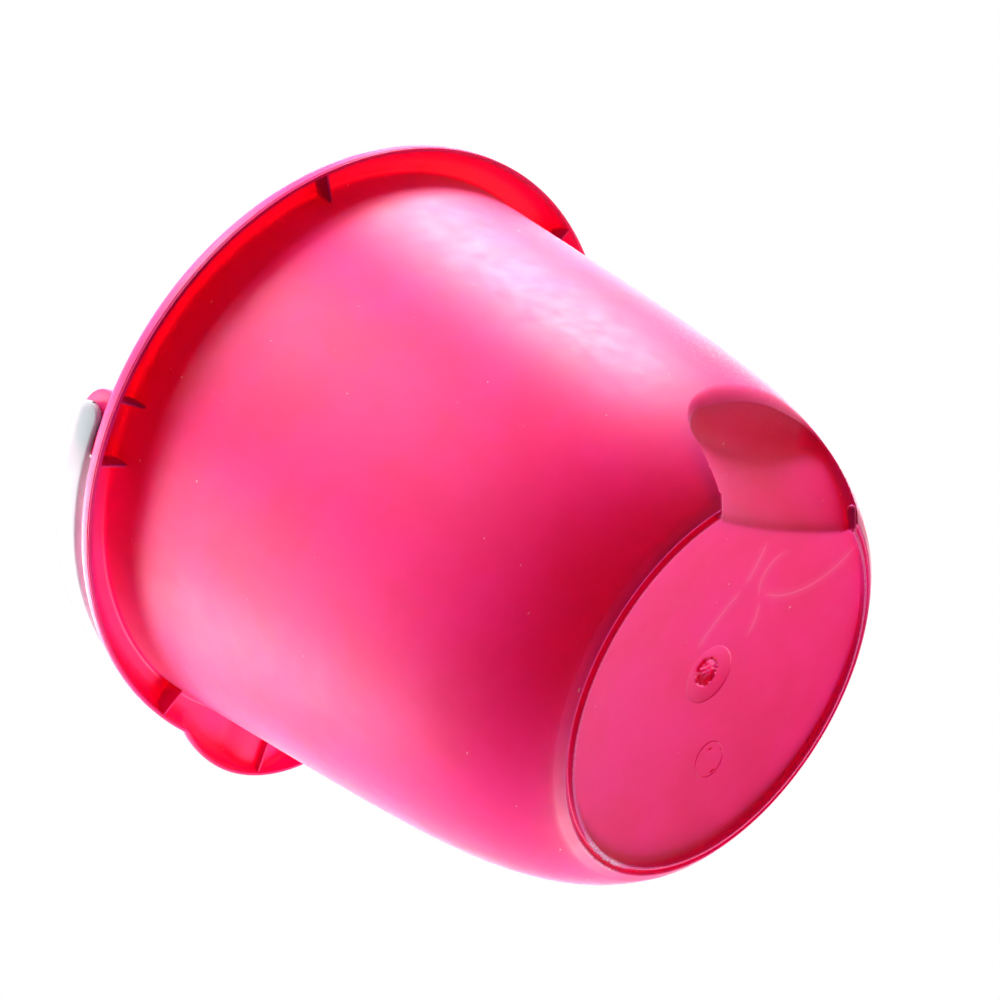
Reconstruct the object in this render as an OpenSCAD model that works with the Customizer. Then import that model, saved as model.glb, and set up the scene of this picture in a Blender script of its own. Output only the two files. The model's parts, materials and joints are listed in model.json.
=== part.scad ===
// Sand bucket with a pouring spout, a finger scoop in its base and a swinging bail.
// Origin: centre of the object's outline seen from above, on the surface that it stands on.
// +Z up, ears on +X and -X, spout towards -Y, finger scoop towards +Y.

/* [Rim] */
// Outer radius of the rim's skirt
rim_r = 101; // [98:0.5:104]
// Height of the skirt's lower edge above the ground
lip_z = 155; // [150:1:160]
// Height of the rim's top above the skirt's lower edge
rim_h = 8; // [7.5:0.1:9]
// Radius of the rim's rounded outer corner
rim_round = 6; // [4:0.5:6]
// Thickness of the skirt and of the flange
rim_t = 1.2; // [1:0.1:1.6]
// Thickness of the stiffening gussets under the rim
gusset_t = 1.2; // [1:0.1:2]

/* [Wall] */
// Thickness of the wall and of the base
wall_t = 2; // [1.6:0.1:2.4]
// Outer radius of the wall where it meets the rim
wall_top_r = 91.3; // [89:0.1:92]
// Radius lost per millimetre of height on the straight part of the wall
wall_taper = 0.095; // [0.08:0.005:0.11]
// How far the shoulder curves in below the straight taper
shoulder_in = 17; // [14:0.5:18]
// Height over which the shoulder's curve dies out
shoulder_len = 20; // [16:0.5:24]

/* [Foot] */
// Outer radius of the foot ring
foot_r = 56.2; // [55:0.1:57]
// Width of the foot ring's land
foot_land = 0.9; // [0.6:0.1:1.5]
// Depth of the base panel at the foot ring
panel_edge = 1.5; // [1:0.1:2]
// Height of the domed base panel at its centre
panel_crown = 6.8; // [4:0.1:9]
// Radius of the dimple round the moulding gate
gate_r = 8.8; // [7:0.1:10]

/* [Finger scoop] */
// Half of the scoop's width
scoop_half_w = 31; // [28:0.5:32]
// Height of the scoop above the ground
scoop_h = 25.5; // [22:0.5:28]
// Radius of the scoop's upper corners
scoop_corner = 9; // [6:0.5:14]
// Distance of the scoop's back from the bucket's axis, at ground level
scoop_back = 40.5; // [38:0.5:44]
// Slope of the scoop's back, where 1 is parallel to the wall
scoop_rake = 1.3; // [1:0.05:1.4]

/* [Spout] */
// Radius of the spout's rounded lip
spout_r = 48.5; // [44:0.5:52]
// Distance of the spout's tip from the bucket's axis
spout_reach = 110.4; // [108:0.2:113]
// Radius of the pouring trough
trough_r = 26; // [22:1:32]
// Depth of the pouring trough below the rim's top
trough_depth = 4; // [2:0.5:4.5]

/* [Ears and bail] */
// Half width of an ear, and the radius of its round top
ear_r = 9.7; // [9:0.1:9.8]
// Height of the ear's round above the skirt's lower edge
ear_up = 9.6; // [9:0.1:10]
// Thickness of an ear
ear_t = 3.5; // [3:0.1:4]
// Height of the hinge axis above the skirt's lower edge
pivot_up = 12.6; // [12.6:0.1:13.5]
// Radius of the bail's hinge studs
stud_r = 2.6; // [2.2:0.1:3]
// Radial clearance of a stud in its ear
stud_gap = 0.07; // [0.03:0.01:0.1]
// Outer radius of the bail's arch
bail_r = 100.3; // [100.1:0.1:101]
// Width of the bail's strap
bail_w = 10.2; // [9:0.1:10.4]
// Thickness of the strap's outer plate
bail_plate = 1.8; // [1.5:0.1:2]
// Depth of the strap's channel section
bail_depth = 4.8; // [4:0.1:6]
// Tilt of the folded bail above the level of its hinge
bail_tilt = 4.4; // [4.4:0.1:12]

/* [Hidden] */
$fn = 96;
eps = 0.01;

rim_top = lip_z + rim_h;
rim_under = rim_top - rim_t;
rim_round_in = rim_round - rim_t;
dome_r = (pow(foot_r, 2) + pow(panel_crown - panel_edge, 2)) / (2 * (panel_crown - panel_edge));
dome_z = panel_crown - dome_r;
shoulder_z = 0.7;
groove_w = 1.7;
groove_top = 1.7;
spout_y = spout_r - spout_reach;
// The bucket's axis stands this far from the origin, to centre the whole outline
centre_y = (spout_reach - rim_r) / 2;
// The scoop's back is hollow across the bucket: its plan is an arc of this radius
scoop_plan_r = 110;
scoop_axis_y = scoop_back + scoop_plan_r;
// Beads that turn the ends of the foot ring up into the scoop's edges
bead_r = 1.2;
bead_len = 5.2;
bead_x = scoop_half_w - 0.7;
bead_y = sqrt(pow(foot_r - 0.4, 2) - pow(bead_x, 2)) + 0.6;
bead_lean = 62;
ear_out = rim_r - 3.8;
pivot_z = lip_z + pivot_up;
bail_axis_back = 3;
boss_gap = 0.3;
flange_start = 10.7;
flange_t = 1.6;
stud_head_r = stud_r + 0.6;
stud_head_t = 1.4;
// Directions of the single gussets, in degrees from +X
gusset_angles = [58, 122, 242, 298, 270];
// Half angle between the two gussets under each ear
ear_gusset_half = 5.6;

// Outer radius of the wall at height z
function wall_r(z) =
    wall_top_r - wall_taper * (rim_under - z) - shoulder_in * exp(-z / shoulder_len);

// Heights that crowd together where the shoulder curves most
function wall_heights(z0, z1, n = 22) = [for (i = [0 : n]) z0 + (z1 - z0) * pow(i / n, 1.8)];

// Solid of revolution with the wall's outline moved in by inset
module wall_solid(z0, z1, inset = 0) {
    rotate_extrude($fn = 180)
        polygon(concat(
            [[0, z0]],
            [for (z = wall_heights(z0, z1)) [wall_r(z) - inset, z]],
            [[0, z1]]));
}

// Outside of the bucket below the rim, solid
module body_solid() {
    wall_solid(2.4, rim_top);
    translate([0, 0, shoulder_z])
        cylinder(h = 1.75, r1 = foot_r + groove_w + 0.2, r2 = wall_r(2.4), $fn = 180);
    cylinder(h = 2, r = foot_r, $fn = 180);
}

// Ball whose top is the base panel's dome, raised by lift
module dome(lift = 0) {
    translate([0, 0, dome_z])
        sphere(r = dome_r + lift, $fn = 180);
}

module base_recess() {
    intersection() {
        translate([0, 0, -1]) cylinder(h = panel_crown + 2, r = foot_r - foot_land, $fn = 180);
        dome();
    }
    // Shallow dimple round the moulding gate
    translate([0, 0, panel_crown - 1]) cylinder(h = 1.5, r = gate_r);
}

module foot_groove() {
    translate([0, 0, -eps])
        difference() {
            cylinder(h = groove_top, r = foot_r + groove_w, $fn = 180);
            translate([0, 0, -1]) cylinder(h = groove_top + 2, r = foot_r, $fn = 180);
        }
}

// Stub that the sprue leaves in the gate's dimple
module gate_stub() {
    difference() {
        translate([0, 0, panel_crown - 1.4]) cylinder(h = 2.4, r1 = 3.4, r2 = 4.2);
        translate([0, 0, panel_crown - 2]) cylinder(h = 1.4, r = 2.2);
    }
}

// Half section of the rim at outer radius r: a flange with a rounded outer corner
module rim_section(r, w) {
    difference() {
        union() {
            translate([r - w, 0]) square([w, rim_h - rim_round]);
            translate([r - w, 0]) square([w - rim_round, rim_h]);
            translate([r - rim_round, rim_h - rim_round]) circle(r = rim_round);
        }
        // Fine groove above the lip
        translate([r - 0.3, 0.6]) square([1, 0.35]);
        translate([r - w - 20, -rim_round]) square([20, rim_round + rim_h]);
    }
}

// Half section of the open channel under the same rim
module channel_section(r, w) {
    translate([r - rim_t - w, -1]) square([w, rim_h - rim_round + 1]);
    translate([r - rim_t - w, -1]) square([w - rim_round_in, rim_h - rim_t + 1]);
    translate([r - rim_round, rim_h - rim_round]) circle(r = rim_round_in);
}

module rim_solid() {
    translate([0, 0, lip_z])
        rotate_extrude($fn = 180) rim_section(rim_r, 15);
    translate([0, spout_y, lip_z])
        rotate_extrude($fn = 180) rim_section(spout_r, spout_r);
}

module rim_channel() {
    difference() {
        union() {
            translate([0, 0, lip_z])
                rotate_extrude($fn = 180) channel_section(rim_r, 14);
            translate([0, spout_y, lip_z])
                rotate_extrude($fn = 180) channel_section(spout_r, spout_r - rim_t);
        }
        wall_solid(100, rim_top);
        trough(rim_t);
        gussets();
    }
}

// Thin upright plates between the wall and the skirt
module gusset(angle) {
    rotate([0, 0, angle])
        translate([wall_top_r - 4, -gusset_t / 2, lip_z + 0.4])
            cube([spout_reach - wall_top_r + 2, gusset_t, rim_h - 1]);
}

module gussets() {
    for (angle = gusset_angles) gusset(angle);
    for (side = [0, 180], off = [-ear_gusset_half, ear_gusset_half]) gusset(side + off);
}

// Rounded channel from the mouth to the spout's tip, grown by skin
module trough(skin = 0) {
    translate([0, -spout_reach - 5, rim_top + trough_r - trough_depth])
        rotate([-90, 0, 0])
            cylinder(h = spout_reach - wall_top_r + 12, r = trough_r + skin);
}

// Arch-shaped scoop, grown by skin on every inner side
module scoop(skin = 0) {
    half = scoop_half_w + skin;
    top = scoop_h + skin;
    corner = scoop_corner + skin;
    intersection() {
        translate([0, 110, 0])
            rotate([90, 0, 0])
                linear_extrude(80) {
                    translate([-half, -5]) square([2 * half, top + 5 - corner]);
                    translate([corner - half, -5]) square([2 * (half - corner), top + 5]);
                    for (side = [-1, 1])
                        translate([side * (half - corner), top - corner]) circle(r = corner);
                }
        translate([0, scoop_axis_y, 0])
            rotate_extrude($fn = 360)
                polygon(concat(
                    [[0, -5], [scoop_plan_r + skin, -5]],
                    [for (i = [0 : 12]) [scoop_back_r(i / 12 * top, skin), i / 12 * top]],
                    [[0, top]]));
    }
}

// Plan radius of the scoop's back at height z: the back leans out a little more than the wall
function scoop_back_r(z, skin) = scoop_plan_r + skin - scoop_rake * (wall_r(z) - wall_r(0));

// Small rounded beads that end the foot ring on both sides of the scoop
module scoop_beads() {
    for (side = [-1, 1])
        translate([side * bead_x, bead_y, bead_r + 0.05])
            rotate([-bead_lean, 0, 0]) {
                sphere(r = bead_r, $fn = 32);
                cylinder(h = bead_len, r = bead_r, $fn = 32);
                translate([0, 0, bead_len]) sphere(r = bead_r, $fn = 32);
            }
}

// Space inside the bucket
module cavity() {
    difference() {
        union() {
            wall_solid(2.4, rim_top + 1, wall_t);
            translate([0, 0, rim_top - 1])
                cylinder(h = 1 + eps, r1 = wall_r(rim_top) - wall_t, r2 = wall_r(rim_top) - wall_t + 1,
                         $fn = 180);
        }
        dome(wall_t);
        scoop(wall_t);
    }
}

// Upright lug on the rim, round on top
module ear() {
    translate([ear_out - ear_t, 0, lip_z])
        rotate([90, 0, 90])
            linear_extrude(ear_t) {
                translate([0, ear_up]) circle(r = ear_r);
                translate([-ear_r, rim_h - 1]) square([2 * ear_r, ear_up - rim_h + 1]);
            }
}

module ears() {
    ear();
    mirror([1, 0, 0]) ear();
}

module bucket() {
    color("deeppink")
        translate([0, centre_y, 0])
            difference() {
                union() {
                    difference() {
                        union() {
                            body_solid();
                            rim_solid();
                            ears();
                        }
                        rim_channel();
                        base_recess();
                        foot_groove();
                        scoop();
                        trough();
                    }
                    gate_stub();
                    scoop_beads();
                }
                cavity();
                // Holes for the bail's studs
                translate([-rim_r - 5, 0, pivot_z])
                    rotate([0, 90, 0])
                        cylinder(h = 2 * rim_r + 10, r = stud_r + stud_gap);
            }
}

// Channel section of the strap, with its open side towards the axis
module bail_section(flanges) {
    translate([bail_r - bail_plate, -bail_w / 2]) square([bail_plate, bail_w]);
    if (flanges)
        for (side = [-1, 1])
            translate([bail_r - bail_depth, side * (bail_w - flange_t) / 2 - flange_t / 2])
                square([bail_depth - bail_plate / 2, flange_t]);
}

// Half turn of the strap's section, cut off at start along -Y
module bail_arch(flanges, start) {
    intersection() {
        translate([0, bail_axis_back, 0])
            rotate_extrude($fn = 180) bail_section(flanges);
        translate([-rim_r - 10, -rim_r - 20, -bail_w])
            cube([2 * rim_r + 20, rim_r + 20 - start, 2 * bail_w]);
    }
}

// Round pad, boss and snap-in stud at one end of the bail
module bail_end() {
    intersection() {
        translate([0, bail_axis_back, 0])
            rotate_extrude($fn = 180) bail_section(false);
        translate([ear_out, 0, 0])
            rotate([0, 90, 0])
                cylinder(h = 10, r = bail_w / 2);
    }
    rotate([0, 90, 0]) {
        translate([0, 0, ear_out + boss_gap])
            cylinder(h = bail_r - bail_plate / 2 - ear_out - boss_gap, r = bail_w / 2 - 0.4);
        translate([0, 0, ear_out - ear_t - 1])
            cylinder(h = ear_t + 2, r = stud_r);
        translate([0, 0, ear_out - ear_t - boss_gap - stud_head_t])
            cylinder(h = stud_head_t, r1 = stud_r - 0.3, r2 = stud_head_r);
    }
}

module bail() {
    color("whitesmoke")
        translate([0, centre_y, pivot_z])
            rotate([-bail_tilt, 0, 0]) {
                bail_arch(false, 0);
                bail_arch(true, flange_start);
                bail_end();
                mirror([1, 0, 0]) bail_end();
            }
}

bucket();
bail();
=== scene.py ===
"""Looks of the sand bucket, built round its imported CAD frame.

Lengths are in millimetres, measured from the bucket's own axis at ground level, until new_mesh() turns
them into metres in the record's frame. +Z is up, the ears are on +X and -X, the spout points to -Y and
the finger scoop to +Y. "skin" is the depth below the outer face: 0 for the outside, WALL_T for the inside.
"""

import json
import math

import bmesh
import bpy
import numpy as np
from mathutils import Matrix, Vector


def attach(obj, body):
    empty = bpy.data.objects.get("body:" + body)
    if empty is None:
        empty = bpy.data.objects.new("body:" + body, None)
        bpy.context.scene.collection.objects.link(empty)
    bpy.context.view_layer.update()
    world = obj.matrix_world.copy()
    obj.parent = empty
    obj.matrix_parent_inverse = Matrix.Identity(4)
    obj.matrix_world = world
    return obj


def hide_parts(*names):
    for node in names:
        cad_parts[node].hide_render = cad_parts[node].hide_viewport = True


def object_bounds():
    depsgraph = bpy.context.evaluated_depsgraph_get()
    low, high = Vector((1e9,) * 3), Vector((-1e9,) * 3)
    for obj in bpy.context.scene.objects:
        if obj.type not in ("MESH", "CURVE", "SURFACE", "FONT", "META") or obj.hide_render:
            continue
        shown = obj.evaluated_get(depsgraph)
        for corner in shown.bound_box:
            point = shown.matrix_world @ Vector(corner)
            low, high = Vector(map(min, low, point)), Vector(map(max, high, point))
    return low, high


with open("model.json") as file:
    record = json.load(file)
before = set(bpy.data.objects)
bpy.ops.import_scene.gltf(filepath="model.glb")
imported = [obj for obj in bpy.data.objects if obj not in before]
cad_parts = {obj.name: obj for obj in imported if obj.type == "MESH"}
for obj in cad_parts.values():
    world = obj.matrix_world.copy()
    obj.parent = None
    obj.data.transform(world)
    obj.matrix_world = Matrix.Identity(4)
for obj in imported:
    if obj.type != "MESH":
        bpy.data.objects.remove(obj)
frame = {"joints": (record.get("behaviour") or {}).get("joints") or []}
cad_low, cad_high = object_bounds()

# ---------------------------------------------------------------- sizes, in millimetres
MM = 0.001
hinge = frame["joints"][0]
AXIS_Y = hinge["pos_m"][1] / MM  # the bucket's axis, in the record's frame
PIVOT_Z = hinge["pos_m"][2] / MM

# Rim: an open channel, with a skirt that ends at the lip
RIM_R = cad_high.x / MM
LIP_Z = PIVOT_Z - 12.6
RIM_TOP = LIP_Z + 8
RIM_ROUND = 6.0
RIM_T = 1.2
RIM_FILLET = 1.0  # between the wall and the rim's underside
LIP_EDGE = 0.35
MOUTH_ROUND = 1.0
# Fine groove in the skirt's outer face, as (depth, height over the lip)
SKIRT_GROOVE = (
    (0, 0.52),
    (0.06, 0.6),
    (0.3, 0.66),
    (0.3, 0.9),
    (0.06, 0.96),
    (0, 1.04),
    (0, 1.6),
    (0, 2.0),
)
RIM_UNDER = RIM_TOP - RIM_T
SPOUT_R = 48.5
SPOUT_REACH = AXIS_Y - cad_low.y / MM
SPOUT_D = SPOUT_REACH - SPOUT_R  # from the axis to the centre of the spout's arc
SPOUT_BLEND = 0.6
TROUGH_R = 26.0
TROUGH_DEPTH = 4.0
TROUGH_START = 84  # how far out the trough is cut to its depth. It rises clear of the rim 4 mm nearer
TROUGH_CLEAR = 30
TROUGH_BLEND = 1.6

# Wall
WALL_T = 2.0
WALL_TOP_R = 91.3
WALL_TAPER = 0.095
SHOULDER_IN = 17.0
SHOULDER_LEN = 20.0

# Foot and base panel
FOOT_R = 56.2
FOOT_LAND = 0.9
GROOVE_TOP = 1.7
FOOT_TOP = 2.4  # where the wall leaves the groove
INSIDE_FLOOR_R = 56.5  # where the floor inside begins to turn up
INSIDE_CORNER_R = 58.0  # the corner's height is the floor's at this radius
INSIDE_ROUND = 3.0
INSIDE_WALL_Z = 7.0  # from here up the inside follows the wall
PANEL_EDGE_Z = 1.5
PANEL_CROWN = 6.8
LIP_TUCK = 0.9  # how far the foot of the wall tucks in towards the groove, and how fast that dies out
LIP_TUCK_LEN = 1.5
DOME_R = (FOOT_R**2 + (PANEL_CROWN - PANEL_EDGE_Z) ** 2) / (2 * (PANEL_CROWN - PANEL_EDGE_Z))
GATE_R = 8.5
GATE_DEPTH = 0.75
GATE_STEP = 0.12
GATE_BOSS = 1.3  # on the inside, opposite the gate
GATE_BOSS_R = 6
GATE_ROWS = 46
PANEL_CORE_R = 12.0  # rows are round out to here, and follow the panel's edge from here on
PANEL_ROWS = 34
CRATER_AT = (0.8, 0.4)
CRATER_R = 3.9
CRATER_RIDGE = 0.75
CRATER_FLOOR = 0.35
PIT_AT = (2.1, -0.9)
PIT_DEPTH = 1.5
CRUMBS = 0.15
STAMP_AT = (-13.2, -25.5)
STAMP_R = 5.4
STAMP_LINE = 0.16
STAMP_MARK = 0.3
STAMP_MARKS = ((3.2, 55, 95), (STAMP_R - 0.5, 130, 158), (STAMP_R - 0.9, 218, 242))
FLASH_FROM = -78  # degrees round the foot ring
FLASH_TURN = 28
BEAD_R = 1.2
BEAD_LEN = 5.2
BEAD_LEAN = math.radians(62)

# Finger scoop
SCOOP_HALF = 31.0
SCOOP_H = 25.5
SCOOP_CORNER = 9.0
ARCH_ROUND = 4.6  # rounding of the scoop's edge over the top, and down its sides
SIDE_ROUND = 0.8
SCOOP_BACK = 40.5
SCOOP_RAKE = 1.3
SCOOP_CROWN = 0.9
SCOOP_DRAFT = 0.97
SCOOP_PLAN_R = 110.0
SCOOP_AXIS_Y = SCOOP_BACK + SCOOP_PLAN_R
PATCH_TOP = 38.0  # the wall is one plain surface above this height
PATCH_HALF = 42.0

# Ears and bail
EAR_R = 9.7
EAR_UP = 9.6
EAR_OUT = RIM_R - 3.8
EAR_T = 3.5
EAR_FOOT = 7.1
EAR_EDGE = 0.6
STUD_R = 2.6
STUD_GAP = 0.07
BOSS_R = 4.7
BOSS_GAP = 0.3
BAIL_R = 100.3
BAIL_BACK = 3.0
BAIL_W = 10.2
BAIL_PLATE = 1.8
BAIL_DEPTH = 4.8
BAIL_TILT = math.radians(4.4)
FLANGE_START = 10.7
FLANGE_T = 1.6

# Mesh density: columns round the bucket, and rows up the foot and the lower wall
SCOOP_COLS = 132
ROUND_COLS = 440
FILLET_ROWS = 8
BACK_ROWS = 12
TUNNEL_ROWS = 5
FOOT_ROWS = 3 * FILLET_ROWS + BACK_ROWS + TUNNEL_ROWS
LOW_WALL_ROWS = 20
LOW_WALL_GROWTH = 1.2

# Gussets under the rim, in degrees: three at the spout, two at the scoop and a pair at each ear
EAR_PAIR = 5.6
GUSSETS = (58, 122, 242, 298, 270, EAR_PAIR, -EAR_PAIR, 180 + EAR_PAIR, 180 - EAR_PAIR)


# ---------------------------------------------------------------- small helpers
def smooth_min(a, b, k):
    """Minimum of a and b, rounded over a width k."""
    h = np.maximum(k - np.abs(a - b), 0) / k
    return np.minimum(a, b) - h * h * k / 4


def smooth_step(a, b, x):
    t = np.clip((x - a) / (b - a), 0, 1)
    return t * t * (3 - 2 * t)


def shoulder_r(z):
    """Radius of the straight taper with its curved shoulder, at height z."""
    return WALL_TOP_R - WALL_TAPER * (RIM_UNDER - z) - SHOULDER_IN * np.exp(-z / SHOULDER_LEN)


def wall_r(z):
    """Outer radius of the wall at height z."""
    return shoulder_r(z) - LIP_TUCK * np.exp(-z / LIP_TUCK_LEN)


def dome_z(rho):
    """Height of the base panel's lower face."""
    return PANEL_CROWN - DOME_R + np.sqrt(DOME_R**2 - rho**2)


def rounded(points, radii, per_arc=6):
    """The 2D path through points, with each inner corner rounded by its radius."""
    p = [np.array(q, float) for q in points]
    path = [p[0]]
    for before, corner, after, radius in zip(p, p[1:], p[2:], radii):
        a, b = before - corner, after - corner
        la, lb = np.linalg.norm(a), np.linalg.norm(b)
        half_turn = (math.pi - math.acos(np.clip(a @ b / (la * lb), -1, 1))) / 2
        cut = min(radius * math.tan(half_turn), 0.49 * la, 0.49 * lb)
        start, end = corner + a * cut / la, corner + b * cut / lb
        for t in np.linspace(0, 1, per_arc + 1):
            path.append((1 - t) ** 2 * start + 2 * t * (1 - t) * corner + t * t * end)
    path.append(p[-1])
    return np.array(path)


def resample(path, count, sharpness=3.0):
    """count points along a path, closer together where it turns."""
    step = np.linalg.norm(np.diff(path, axis=0), axis=1)
    heading = np.unwrap(np.arctan2(*np.diff(path, axis=0).T[::-1]))
    turn = np.abs(np.diff(heading, append=heading[-1])) + np.abs(np.diff(heading, prepend=heading[0]))
    weight = np.concatenate([[0], np.cumsum(step + sharpness * 0.5 * turn)])
    at = np.linspace(0, weight[-1], count)
    return np.stack([np.interp(at, weight, path[:, k]) for k in (0, 1)], 1)


def closed_faces(rows):
    """Quads between rows of equally many points, each row a closed ring."""
    faces = []
    for low, high in zip(rows, rows[1:]):
        n = len(low)
        for j in range(n):
            k = (j + 1) % n
            faces.append((low[j], low[k], high[k], high[j]))
    return faces


def in_metres(place):
    """A point in millimetres from the bucket's axis, as one in the record's frame."""
    return (Vector(place) + Vector((0, AXIS_Y, 0))) * MM


def new_mesh(name, points, faces, weld=0.0):
    """A mesh object from points in millimetres, moved from the bucket's axis to the record's frame."""
    mesh = bpy.data.meshes.new(name)
    co = (np.asarray(points, float) + (0, AXIS_Y, 0)) * MM
    mesh.from_pydata(co.tolist(), [], faces)
    bm = bmesh.new()
    bm.from_mesh(mesh)
    if weld:
        bmesh.ops.remove_doubles(bm, verts=bm.verts, dist=weld * MM)
        bmesh.ops.dissolve_degenerate(bm, dist=weld * MM / 4, edges=bm.edges)
    bmesh.ops.recalc_face_normals(bm, faces=bm.faces)
    bm.to_mesh(mesh)
    bm.free()
    obj = bpy.data.objects.new(name, mesh)
    bpy.context.scene.collection.objects.link(obj)
    return obj


def loft(name, rings, weld=0.0):
    """A closed mesh through rings of equally many points, with both ends capped."""
    rings = np.asarray(rings, float)
    index = np.arange(rings.size // 3).reshape(rings.shape[:2])
    faces = closed_faces(index.tolist())
    faces += [tuple(index[0][::-1]), tuple(index[-1])]
    return new_mesh(name, rings.reshape(-1, 3), faces, weld)


def join_solids(obj, others):
    """Unites closed meshes with obj into one skin, and removes the others."""
    for other in others:
        boolean = obj.modifiers.new("unite", "BOOLEAN")
        boolean.operation = "UNION"
        boolean.solver = "MANIFOLD"
        boolean.object = other
    graph = bpy.context.evaluated_depsgraph_get()
    united = bpy.data.meshes.new_from_object(obj.evaluated_get(graph))
    obj.modifiers.clear()
    obj.data = united
    for other in others:
        bpy.data.objects.remove(other)


def dress(obj, material, degrees=32):
    """One material all over, and smooth shading with creases kept sharp."""
    obj.data.materials.clear()
    obj.data.materials.append(material)
    obj.data.polygons.foreach_set("material_index", np.zeros(len(obj.data.polygons), np.int32))
    obj.data.shade_smooth()
    obj.data.set_sharp_from_angle(angle=math.radians(degrees))


# ---------------------------------------------------------------- the bucket's skin
def scoop_back_y(x, z, skin):
    """The scoop's back: an arc in plan, that leans out a little more than the wall does."""
    r = SCOOP_PLAN_R + skin - SCOOP_RAKE * (shoulder_r(z) - shoulder_r(0))
    return SCOOP_AXIS_Y - np.sqrt(r * r - x * x)


def wall_point(angle, z, skin):
    r = wall_r(z) - skin
    return np.stack([r * np.cos(angle), r * np.sin(angle), z], -1)


def arch(u, skin, foot_z):
    """The scoop's opening as (x, z), for u from 0 at +X to 1 at -X: upright sides and a crowned top."""
    half = SCOOP_HALF + skin
    top = SCOOP_H + skin
    corner = SCOOP_CORNER + skin
    side = top - corner - foot_z
    quarter = corner * math.pi / 2
    flat = half - corner
    reach = np.abs(2 * u - 1)  # 0 at the middle of the top, 1 at the foot
    s = reach * (side + quarter + flat)
    turn = np.clip((s - flat) / quarter, 0, 1) * math.pi / 2
    x = np.minimum(s, flat) + corner * np.sin(turn)
    z = top - corner + corner * np.cos(turn) - np.maximum(s - flat - quarter, 0)
    z = z - SCOOP_CROWN * (np.minimum(s, flat) / flat) ** 2 * smooth_step(foot_z, top, z)
    return np.where(u < 0.5, x, -x), z


def panel_corner(edge_r, edge_z, skin):
    """Where the scoop's back meets the round edge of the panel, on the +X side."""
    low, high = 10.0, SCOOP_HALF + skin
    for _ in range(40):
        x = (low + high) / 2
        if math.hypot(x, scoop_back_y(x, edge_z, skin)) < edge_r:
            low = x
        else:
            high = x
    return low


def foot_profile(skin):
    """The panel's edge, and the (r, z) path from there to the foot of the wall."""
    if not skin:
        inner = FOOT_R - FOOT_LAND
        start = (inner - 0.05, float(dome_z(inner)))
        path = [
            start,
            (inner, 0),
            (FOOT_R, 0),
            (FOOT_R + 0.1, GROOVE_TOP),
            (FOOT_R + 1.3, GROOVE_TOP),
            (FOOT_R + 1.5, 0.6),
            (FOOT_R + 2.0, 0.45),
            (float(wall_r(FOOT_TOP)), FOOT_TOP),
        ]
        radii = (0.25, 0.25, 0.3, 0.3, 0.35, 1.2)
        return start, resample(rounded(path, radii), FOOT_ROWS + 1, 0.5)
    start = (INSIDE_FLOOR_R, float(dome_z(INSIDE_FLOOR_R)) + skin)
    corner_z = float(dome_z(INSIDE_CORNER_R)) + skin
    corner = (float(wall_r(corner_z)) - skin, corner_z)
    path = [start, corner, (float(wall_r(INSIDE_WALL_Z)) - skin, INSIDE_WALL_Z)]
    return start, resample(rounded(path, (INSIDE_ROUND,), 12), FOOT_ROWS + 1)


def bezier_corner(before, corner, after, rows):
    t = np.linspace(0, 1, rows + 1)[1:, None]
    return (1 - t) ** 2 * before + 2 * t * (1 - t) * corner + t * t * after


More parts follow.
